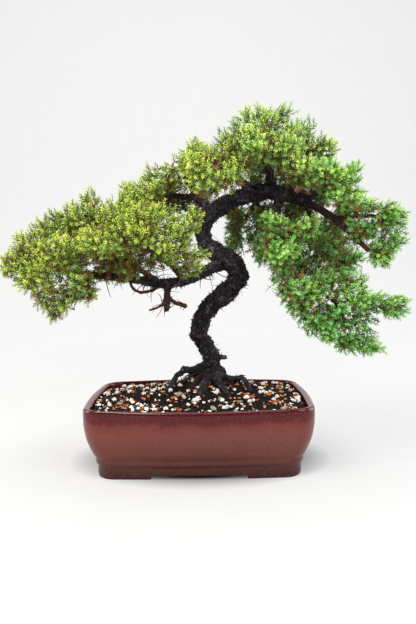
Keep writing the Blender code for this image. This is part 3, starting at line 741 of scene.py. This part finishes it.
def needleMaterial(area):
    # Juniper needle: waxy and stiff; dark olive where it is old and shaded, fresh green then pale
    # yellow-green at the growing tip, browned where a shoot has died
    needle, tree, shader, place = newMaterial("juniperNeedles_" + area, Roughness=0.55, IOR=1.4,
                                              Specular_IOR_Level=0.3)
    attribute = addNode(tree, "Attribute", {"attribute_name": "growth"})
    growth = addNode(tree, "SeparateColor", links={0: attribute.outputs["Color"]})
    youth = addNode(tree, "Math", {"operation": "MULTIPLY_ADD", 1: 0.34, 2: -0.17}, {0: growth.outputs[1]})
    # painted shade: the growth attribute's red is the needle's youth, already darkened where the shoot stands
    # in shade
    youthAndLight = addNode(tree, "Math", {"operation": "ADD", "use_clamp": True},
                  {0: growth.outputs[0], 1: youth.outputs[0]})
    body = setStops(addNode(tree, "ValToRGB", links={"Fac": youthAndLight.outputs[0]}),
                    list(zip((0.05, 0.35, 0.62, 0.86, 1.0), areas[area]["greens"])))
    # patches of cooler green a few centimetres wide, where the wax lies thicker
    patch = addNode(tree, "TexNoise", {"Scale": 1 / 0.045, "Detail": 1.0}, {"Vector": place})
    patches = addNode(tree, "MapRange", {"From Min": 0.48, "From Max": 0.68, "To Max": 0.5},
                      {"Value": patch.outputs["Fac"]})
    height = addNode(tree, "SeparateXYZ", links={0: place})
    # cooler towards the bottom of the tree, by height alone
    below = addNode(tree, "MapRange", {"From Min": 0.31, "From Max": 0.19, "To Max": areas[area]["blue"]},
                    {"Value": height.outputs["Z"]})
    cool = addNode(tree, "Math", {"operation": "ADD", "use_clamp": True},
                   {0: patches.outputs[0], 1: below.outputs[0]})
    patched = addNode(tree, "Mix", {"data_type": "RGBA", "blend_type": "MULTIPLY", 7: hexColour("#a0e4f0")},
                      {0: cool.outputs[0], 6: body.outputs["Color"]})
    # pale bands of stomata on the needle's upper face
    band = addNode(tree, "Math", {"operation": "MULTIPLY", 1: 0.13}, {0: growth.outputs[2]})
    banded = addNode(tree, "Mix", {"data_type": "RGBA", 7: hexColour("#e4eabc")},
                     {0: band.outputs[0], 6: patched.outputs[2]})
    colour = addNode(tree, "Mix", {"data_type": "RGBA", 7: hexColour("#8a5527")},
                     {0: attribute.outputs["Alpha"], 6: banded.outputs[2]})
    tree.links.new(colour.outputs[2], shader.inputs["Base Color"])
    return needle


# joins every shoot's base to the root by twigs: short joints, but short ways home too
def growTwigs(root, bases):
    places = np.vstack([root, bases])
    parent = np.zeros(len(places), int)
    cost = np.linalg.norm(places - places[0], axis=1)
    home = np.zeros(len(places))
    link = np.zeros(len(places), int)
    done = np.zeros(len(places), bool)
    done[0] = True
    for _ in range(len(bases)):
        i = int(np.where(done, np.inf, cost).argmin())
        done[i] = True
        parent[i] = link[i]
        home[i] = home[link[i]] + np.linalg.norm(places[i] - places[link[i]])
        through = np.linalg.norm(places - places[i], axis=1) + 0.45 * home[i]
        better = through < cost
        cost = np.where(better, through, cost)
        link = np.where(better, i, link)
    load = np.ones(len(places))
    for i in np.argsort(-home):
        if i:
            load[parent[i]] += load[i]
    return places, parent, load


# one closed awl of four faces on each foot, keeled below and bent a little along its shoot
def needles(feet, ways, outs, youth, tone, dead, size, draw):
    s = leafSet
    count = len(feet)
    angle = np.radians(s["needleAngle"]) * (1.1 - 0.45 * youth) + draw.normal(0, 0.10, count)
    lean = unit(ways * np.cos(angle)[:, None] + outs * np.sin(angle)[:, None])
    length = (size * draw.uniform(*s["needle"], count))[:, None]
    across = unit(np.cross(lean, ways))
    lift = np.cross(across, lean) * s["needleKeel"]
    half = across * s["needleWidth"] / 2 * np.clip(size, 0.6, 1.2)[:, None]
    middle = feet + lean * length * 0.42 + lift
    tip = feet + lean * length * 0.9 + ways * length * 0.16
    vertices = np.stack([feet, middle + half, middle - half, tip], 1).reshape(-1, 3)
    pattern = np.array([(0, 3, 1), (0, 2, 3), (0, 1, 2), (3, 2, 1)])
    faces = (pattern[None] + np.arange(count)[:, None, None] * 4).reshape(-1, 3)
    growth = np.ones((count, 4, 4))
    growth[:, :, 0] = np.clip(youth[:, None] + np.array([-0.22, 0, 0, 0.14]), 0, 1)
    growth[:, :, 1] = tone[:, None]
    growth[:, :, 2] = np.array([0.0, 1.0, 1.0, 0.3])
    growth[:, :, 3] = dead[:, None]
    return vertices, faces, growth.reshape(-1, 4)


def growSpray(name, tips, outward, shade, light, looks):
    s = leafSet
    draw = np.random.default_rng(sum(ord(letter) * (i + 1) for i, letter in enumerate(name)))
    count = len(tips)
    root = rootOf[name]
    away = unit(tips - root)
    lift = areas[name.split("_")[1]]["lift"]
    bySkin, byFoot, byChance = s["ways"]
    ways = unit(bySkin * outward + byFoot * away + lift * up + byChance * draw.standard_normal(tips.shape))
    lengths = draw.uniform(*s["reach"], count)
    further = (draw.uniform(0, 1, count) < s["leaders"]) * draw.uniform(0.4, 1, count) * s["leaderReach"]
    tips = tips + ways * further[:, None]
    lengths = lengths + further
    bases = tips - ways * lengths[:, None]
    # a shoot bends up towards the light
    middles = (bases + tips) / 2 - up * (lengths * s["sag"])[:, None]
    places, parent, load = growTwigs(root, bases)
    joints = places[parent[1:]]
    tone = np.clip(draw.normal(0.5, 0.26, count), 0, 1)
    anywhere, below, within = s["dead"]
    chance = anywhere + below * np.clip(-outward[:, 2], 0, 1) + within * (1 - light)
    dead = (draw.uniform(0, 1, count) < chance) * draw.uniform(0.4, 0.95, count)
    whorls = np.maximum((lengths / (s["whorlGap"] * (1 + 0.5 * shade))).astype(int), 3)
    shoot = np.repeat(np.arange(count), whorls)
    step = np.concatenate([np.arange(n) for n in whorls])
    share = (step + 0.6) / whorls[shoot]
    t = share[:, None]
    feet = bases[shoot] * (1 - t)**2 + 2 * middles[shoot] * t * (1 - t) + tips[shoot] * t**2
    heading = unit((middles - bases)[shoot] * (1 - t) + (tips - middles)[shoot] * t)
    side, across = sideVectors(ways, draw)
    # painted shade: shoots in clefts and under other leaves get darker needles, through a lower youth
    lit = (1 - s["cleftShade"] * shade) * (1 - s["darkShade"] * (1 - light))
    youth = (0.32 + 0.58 * share) * lit[shoot]
    size = 1.0 - 0.36 * share**2
    # old needles along the inner twigs, many of them brown
    runs = np.linalg.norm(bases - joints, axis=1)
    oldCount = np.minimum((runs / s["oldWhorlGap"]).astype(int), 4)
    oldShoot = np.repeat(np.arange(count), oldCount)
    oldStep = np.concatenate([np.arange(n) for n in oldCount])
    oldShare = ((oldStep + 0.5) / np.maximum(oldCount[oldShoot], 1))[:, None]
    feet = np.vstack([feet, joints[oldShoot] * (1 - oldShare) + bases[oldShoot] * oldShare])
    heading = np.vstack([heading, unit(bases - joints)[oldShoot]])
    owner = np.concatenate([shoot, oldShoot])
    turnStep = np.concatenate([step, oldStep])
    youth = np.concatenate([youth, draw.uniform(0.0, 0.3, len(oldShoot)) * lit[oldShoot]])
    size = np.concatenate([size, np.full(len(oldShoot), 0.9)])
    brown = np.concatenate([dead[shoot], draw.uniform(0, 1, len(oldShoot)) ** 2])
    batches = []
    start = draw.uniform(0, math.tau, count)
    for k in range(3):
        turn = (start[owner] + math.tau * k / 3 + math.pi / 3 * turnStep)[:, None]
        out = side[owner] * np.cos(turn) + across[owner] * np.sin(turn)
        out = unit(out - heading * (out * heading).sum(1)[:, None])
        batches.append(needles(feet, heading, out, youth, tone[owner], brown, size, draw))
    ripe = s["twigRadius"] + 0.09 * np.sqrt(load[1:])
    twigs = tubes((joints, bases), (ripe, ripe * 0.85), draw)
    stem = np.full(count, s["twigRadius"])
    stems = tubes((bases, tips - ways), (stem, stem * 0.5), draw)
    vertices, faces, growth, kinds = [], [], [], []
    total = 0
    for some, theirs, *colours in batches + [twigs, stems]:
        vertices.append(some)
        faces.append(theirs + total)
        growth.append(colours[0] if colours else np.full((len(some), 4), 0.5))
        kinds.append(np.full(len(theirs), 0 if colours else 1))
        total += len(some)
    spray = makeMesh("leafy" + name.replace("spray", ""), np.vstack(vertices), np.vstack(faces), looks,
                     np.concatenate(kinds), np.vstack(growth), smooth=False)
    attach(spray, "root")
    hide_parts(name)
    return spray


sprayNames = sorted(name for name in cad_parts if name.startswith("spray"))
woodPoints, woodTriangles = meshArrays(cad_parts["wood"])
woodTree = BVHTree.FromPolygons(woodPoints.tolist(), woodTriangles.tolist())
leafDraw = np.random.default_rng(3)
skinParts, rootOf = [], {}
for name in sprayNames:
    points, triangles = meshArrays(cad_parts[name])
    gaps = np.array([woodTree.find_nearest(Vector(point))[3] for point in points])
    rootOf[name] = points[gaps < gaps.min() + 0.5].mean(0)
    collar = rootOf[name] + unit(points.mean(0) - rootOf[name]) * canopySet["collarOut"]
    collar = collar + unit(leafDraw.standard_normal((canopySet["collarPoints"], 3))) * canopySet["collar"]
    skinParts.append(np.vstack([sampleSkin(points, triangles, canopySet["skinGap"], leafDraw), collar]))
skins = np.vstack(skinParts)
owners = np.repeat(np.arange(len(sprayNames)), [len(part) for part in skinParts])
nearest = pointTree(skins)
roomLow, roomDepth, roomOutward = buildRoom(skins)
print("canopy", int((roomDepth > 0).sum() * canopySet["cell"] ** 3 / 1000), "cm3")
tipParts, cellParts = [], []
within = roomDepth > canopySet["shellCells"]
for wanted, chosen in ((leafSet["shoots"], (roomDepth > 0) & ~within), (leafSet["inner"], within)):
    cells = np.argwhere(chosen)
    spots = roomLow + (cells + leafDraw.uniform(0, 1, cells.shape)) * canopySet["cell"]
    clear = np.array([woodTree.find_nearest(Vector(spot))[3] > canopySet["woodGap"] for spot in spots])
    spots, cells = spots[clear], cells[clear]
    owned = [nearest.find(spot) for spot in spots]
    places = np.array([sprayNames[owners[index]].split("_")[1] for _, index, _ in owned])
    near = np.array([gap for _, _, gap in owned]) < [areas[place]["stray"] for place in places]
    shares = {area: (near & (places == area)).sum() * areas[area]["density"] for area in areas}
    for area, share in shares.items():
        here = near & (places == area)
        keep = pickSpread(spots[here], int(wanted * share / sum(shares.values())))
        tipParts.append(spots[here][keep])
        cellParts.append(cells[here][keep])
shootTips, shootCells = np.vstack(tipParts), np.vstack(cellParts)
found = [nearest.find(tip) for tip in shootTips]
shootOwners = np.array([owners[index] for _, index, _ in found])
shootOutward = unit(roomOutward[tuple(shootCells.T)])
cleftFrom, cleftOver = leafSet["cleft"]
shootShade = np.clip((np.array([gap for _, _, gap in found]) - cleftFrom) / cleftOver, 0, 1)
shootShade = np.maximum(shootShade, (roomDepth[tuple(shootCells.T)] > canopySet["shellCells"]) * 1.0)
# painted shade: the sky that each shoot sees sets how light its needles are coloured
sky = skySeen(shootTips, roomLow, roomDepth)
print("sky seen by the shoots", np.percentile(sky, (5, 25, 50, 75, 95)).round(2))
darkest, brightest = leafSet["sky"]
shootLight = np.clip((sky - darkest) / (brightest - darkest), 0, 1)
stoutTree = pointTree(stoutWood)
darkestWithin, shadeReach, coreShadeStrength = leafSet["bareCore"]
# painted shade: shoots beside and below the stout wood, under the arch, are coloured darker
for i, tip in enumerate(shootTips):
    place, _, gap = stoutTree.find(tip)
    if tip[2] < place[2] + leafSet["coreRise"]:
        shootLight[i] *= 1 - coreShadeStrength * min(max((shadeReach - gap) / (shadeReach - darkestWithin), 0), 1)
needleLooks = {area: needleMaterial(area) for area in areas}
leafFaces = 0
for i, name in enumerate(sprayNames):
    mine = shootOwners == i
    spray = growSpray(name, shootTips[mine], shootOutward[mine], shootShade[mine], shootLight[mine],
                      [needleLooks[name.split("_")[1]], twigLook])
    leafFaces += len(spray.data.polygons)
print("foliage", leafFaces, "faces")


# Soil: black bark-based mix with white perlite and orange bark chips

def buildSoil():
    s = soilSet
    draw = np.random.default_rng(5)
    edge = np.array(potOutline(potSet["mixInset"], s["edge"]))
    walls = [potOutline(inset, height) for height, inset in ((12.3, 38), (23, 26), (40, 13.8), (64, 10.2))]
    middle = np.array((*s["middle"], 0.0))
    rings = [np.array(wall) for wall in walls] + [edge]
    for i in range(1, s["rings"]):
        ring = middle + (edge - middle) * (1 - i / s["rings"])
        wave = draw.normal(0, s["relief"] * 0.5, len(ring))
        wave = (wave + np.roll(wave, 1)) * 0.6
        ring[:, 2] = soilHeight(ring[:, 0], ring[:, 1]) + wave
        rings.append(ring)
    soil = makeMesh("pottingMix", np.vstack(rings), loftFaces(len(rings), len(edge)), [mixLook])
    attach(soil, "root")
    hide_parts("soil")
    return soil


# whether a place lies inside the pot's inner wall by a margin
def insideWall(x, y, margin):
    wall = np.array(potOutline(potSet["mixInset"] + margin, 0))[:, :2]
    nxt = np.roll(wall, -1, axis=0)
    cross = (nxt[:, 0] - wall[:, 0]) * (y - wall[:, 1]) - (nxt[:, 1] - wall[:, 1]) * (x - wall[:, 0])
    return (cross > 0).all()


def lumpPattern(detail):
    shape = bmesh.new()
    bmesh.ops.create_icosphere(shape, subdivisions=detail, radius=1.0)
    vertices = np.array([v.co[:] for v in shape.verts])
    faces = np.array([[v.index for v in f.verts] for f in shape.faces])
    shape.free()
    return vertices, faces


# loose pieces lying in the top of the mix
def scatter(name, count, sizes, flatness, rough, detail, look, proud, seed):
    draw = np.random.default_rng(seed)
    pattern, patternFaces = lumpPattern(detail)
    breadth = (0.65, 1.0) if flatness == 1 else (0.35, 0.8)
    vertices, faces = [], []
    while len(vertices) < count:
        x, y = draw.uniform(-118, 118), draw.uniform(-92, 92)
        size = sizes[0] + (sizes[1] - sizes[0]) * draw.uniform() ** 1.8
        if not insideWall(x, y, size / 2):
            continue
        z = float(soilHeight(x, y))
        if woodTree.find_nearest(Vector((x, y, z)))[3] < size * 0.35:
            continue
        turn = Matrix.Rotation(draw.uniform(0, math.tau), 3, Vector(draw.standard_normal(3)).normalized())
        lean = Matrix.Rotation(draw.normal(0, 0.45), 3, "X")
        tilt = lean @ Matrix.Rotation(draw.uniform(0, math.tau), 3, "Z")
        form = pattern * (1 + draw.uniform(-rough, rough, (len(pattern), 1)))
        form = form * (size / 2) * np.array([draw.uniform(0.8, 1.15), draw.uniform(*breadth), 1.0])
        if flatness < 1:
            form = (form * np.array((1, 1, flatness))) @ np.array(tilt).T
        else:
            form = form @ np.array(turn).T
        vertices.append(form + np.array((x, y, z + size * flatness * proud)))
        faces.append(patternFaces + (len(vertices) - 1) * len(pattern))
    pieces = makeMesh(name, np.vstack(vertices), np.vstack(faces), [look], smooth=False)
    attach(pieces, "root")
    return pieces


# Composted bark and peat: damp, black, with brown fibres
mixTones = [(0.35, "#050404"), (0.55, "#100b0a"), (0.68, "#2b1c15"), (0.8, "#553320")]
mixLook = grainyMaterial("pottingMix", mixTones, 3.0, 5.0, 0.75, bump=(0.9, 1.2), Roughness=0.95,
                         Specular_IOR_Level=0.15)
soil = buildSoil()
loose = []
for name, (count, sizes, flatness, rough, detail, proud, seed, *finish) in soilSet["loose"].items():
    grain, dull, tones = finish
    look = grainyMaterial(name, tones, grain, 3.0, 0.65, bump=(0.5, 0.4), Roughness=dull,
                          Specular_IOR_Level=0.25)
    loose.append(scatter(name, count, sizes, flatness, rough, detail, look, proud, seed))
print("soil", len(soil.data.polygons) + sum(len(piece.data.polygons) for piece in loose), "faces")


# Drain mesh: injection-moulded polyethylene, hidden under the mix

meshPlastic = grainyMaterial("mouldedPolyethylene", [(0.3, "#141416"), (0.7, "#222226")], 2.0, 2.0,
                             Roughness=0.45)
for name in ("screen_left", "screen_right"):
    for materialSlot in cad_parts[name].material_slots:
        materialSlot.material = meshPlastic


# Floor, backdrop and light: a white paper sweep under large soft boxes

studioSet = {
    "roundRadius": 2.55, "floorHalf": 2.6, "backStart": 0.9, "backRadius": 0.6,
    "backHeight": 2.6, "backSteps": 16, "roundSides": 64,
    "paper": ("#757575", "#777777"), "glow": (0.52, 0.61), "world": (0.12, 0.9),
    "underPot": (0.118, 0.088, 1.0),   # half lengths of the painted contact shadow, where the paper's glow is cut off under the pot
    # name: (place, size, watts, colour)
    "lamps": {
        "keyBox": ((-0.9, -0.9, 1.5), 1.0, 44, "#fffaf2"),
        "fillBox": ((1.2, -1.1, 0.9), 1.0, 22, "#f4f8ff"),
        "topBox": ((0.0, 0.0, 1.7), 1.2, 20, "#ffffff"),
        "edgeBox": ((1.2, 0.3, 0.3), 0.8, 8, "#ffffff"),
        "rimBox": ((-1.3, 0.15, 0.45), 0.6, 6, "#ffffff"),
    },
}


def buildStudio():
    s = studioSet
    # White paper that glows with painted light, rising with distance from the pot, so that it stays even
    paper, tree, shader, place = newMaterial("whitePaper", Roughness=0.9, Emission_Color=(1, 1, 1, 1))
    away = addNode(tree, "VectorMath", {"operation": "LENGTH"}, {0: place})
    glow = addNode(tree, "MapRange", {"From Min": 0.5, "From Max": 1.1, "To Min": s["glow"][0],
                                      "To Max": s["glow"][1]}, {"Value": away.outputs["Value"]})
    # painted contact shadow: the glow fades out under the pot and just round it
    across = addNode(tree, "VectorMath", {"operation": "DIVIDE", 1: s["underPot"]}, {0: place})
    reach = addNode(tree, "VectorMath", {"operation": "LENGTH"}, {0: across.outputs[0]})
    outsidePaintedShadow = addNode(tree, "MapRange", {"From Min": 0.85, "From Max": 1.3},
                        {"Value": reach.outputs["Value"]})
    strength = addNode(tree, "Math", {"operation": "MULTIPLY"}, {0: glow.outputs[0], 1: outsidePaintedShadow.outputs[0]})
    tree.links.new(strength.outputs[0], shader.inputs["Emission Strength"])
    fibre = addNode(tree, "TexNoise", {"Scale": 1 / 0.05, "Detail": 2.0}, {"Vector": place})
    tone = setStops(addNode(tree, "ValToRGB", links={"Fac": fibre.outputs["Fac"]}),
                    list(zip((0.3, 0.7), s["paper"])))
    tree.links.new(tone.outputs["Color"], shader.inputs["Base Color"])
    line = [(-s["floorHalf"], 0.0), (s["backStart"], 0.0)]
    for k in range(1, s["backSteps"] + 1):
        angle, radius = math.pi / 2 * k / s["backSteps"], s["backRadius"]
        line.append((s["backStart"] + radius * math.sin(angle), radius * (1 - math.cos(angle))))
    line.append((line[-1][0], s["backHeight"]))
    vertices = [(x * 1000, y * 1000, z * 1000) for y, z in line for x in (-s["floorHalf"], s["floorHalf"])]
    faces = [(2 * i, 2 * i + 1, 2 * i + 3, 2 * i + 2) for i in range(len(line) - 1)]
    sweep = makeMesh("paperSweep", vertices, faces, [paper])
    # paper that stands all round for views from the sides and back, and casts no light of its own
    turns = [math.tau * k / s["roundSides"] for k in range(s["roundSides"])]
    circle = [(math.cos(turn), math.sin(turn)) for turn in turns]
    vertices = [(x * s["roundRadius"] * 1000, y * s["roundRadius"] * 1000, z * 1000)
                for z in (-0.01, s["backHeight"]) for x, y in circle]
    wall = makeMesh("paperRound", vertices, loftFaces(2, len(circle), closeEnds=False), [paper])
    for ray in ("diffuse", "glossy", "transmission", "shadow"):
        setattr(wall, "visible_" + ray, False)
    world = bpy.data.worlds.new("studio")
    bpy.context.scene.world = world
    world.use_nodes = True
    sky = world.node_tree.nodes["Background"]
    sky.inputs["Color"].default_value = (1, 1, 1, 1)
    # dim behind the camera, and bright on the paper's side
    facing = addNode(world.node_tree, "SeparateXYZ",
                     links={0: addNode(world.node_tree, "TexCoord").outputs["Generated"]})
    level = addNode(world.node_tree, "MapRange", {"From Min": -0.8, "From Max": 0.3, "To Min": s["world"][0],
                                                  "To Max": s["world"][1]}, {"Value": facing.outputs["Y"]})
    world.node_tree.links.new(level.outputs[0], sky.inputs["Strength"])
    for name, (place, size, watts, colour) in s["lamps"].items():
        lamp = addObject(name, bpy.data.lights.new(name, "AREA"))
        lamp.data.size = size
        lamp.data.energy = watts
        lamp.data.color = hexColour(colour)[:3]
        lamp.location = place
        lamp.rotation_euler = (Vector((0, 0, 0.2)) - Vector(place)).to_track_quat("-Z", "Y").to_euler()


buildStudio()
print("studio built")
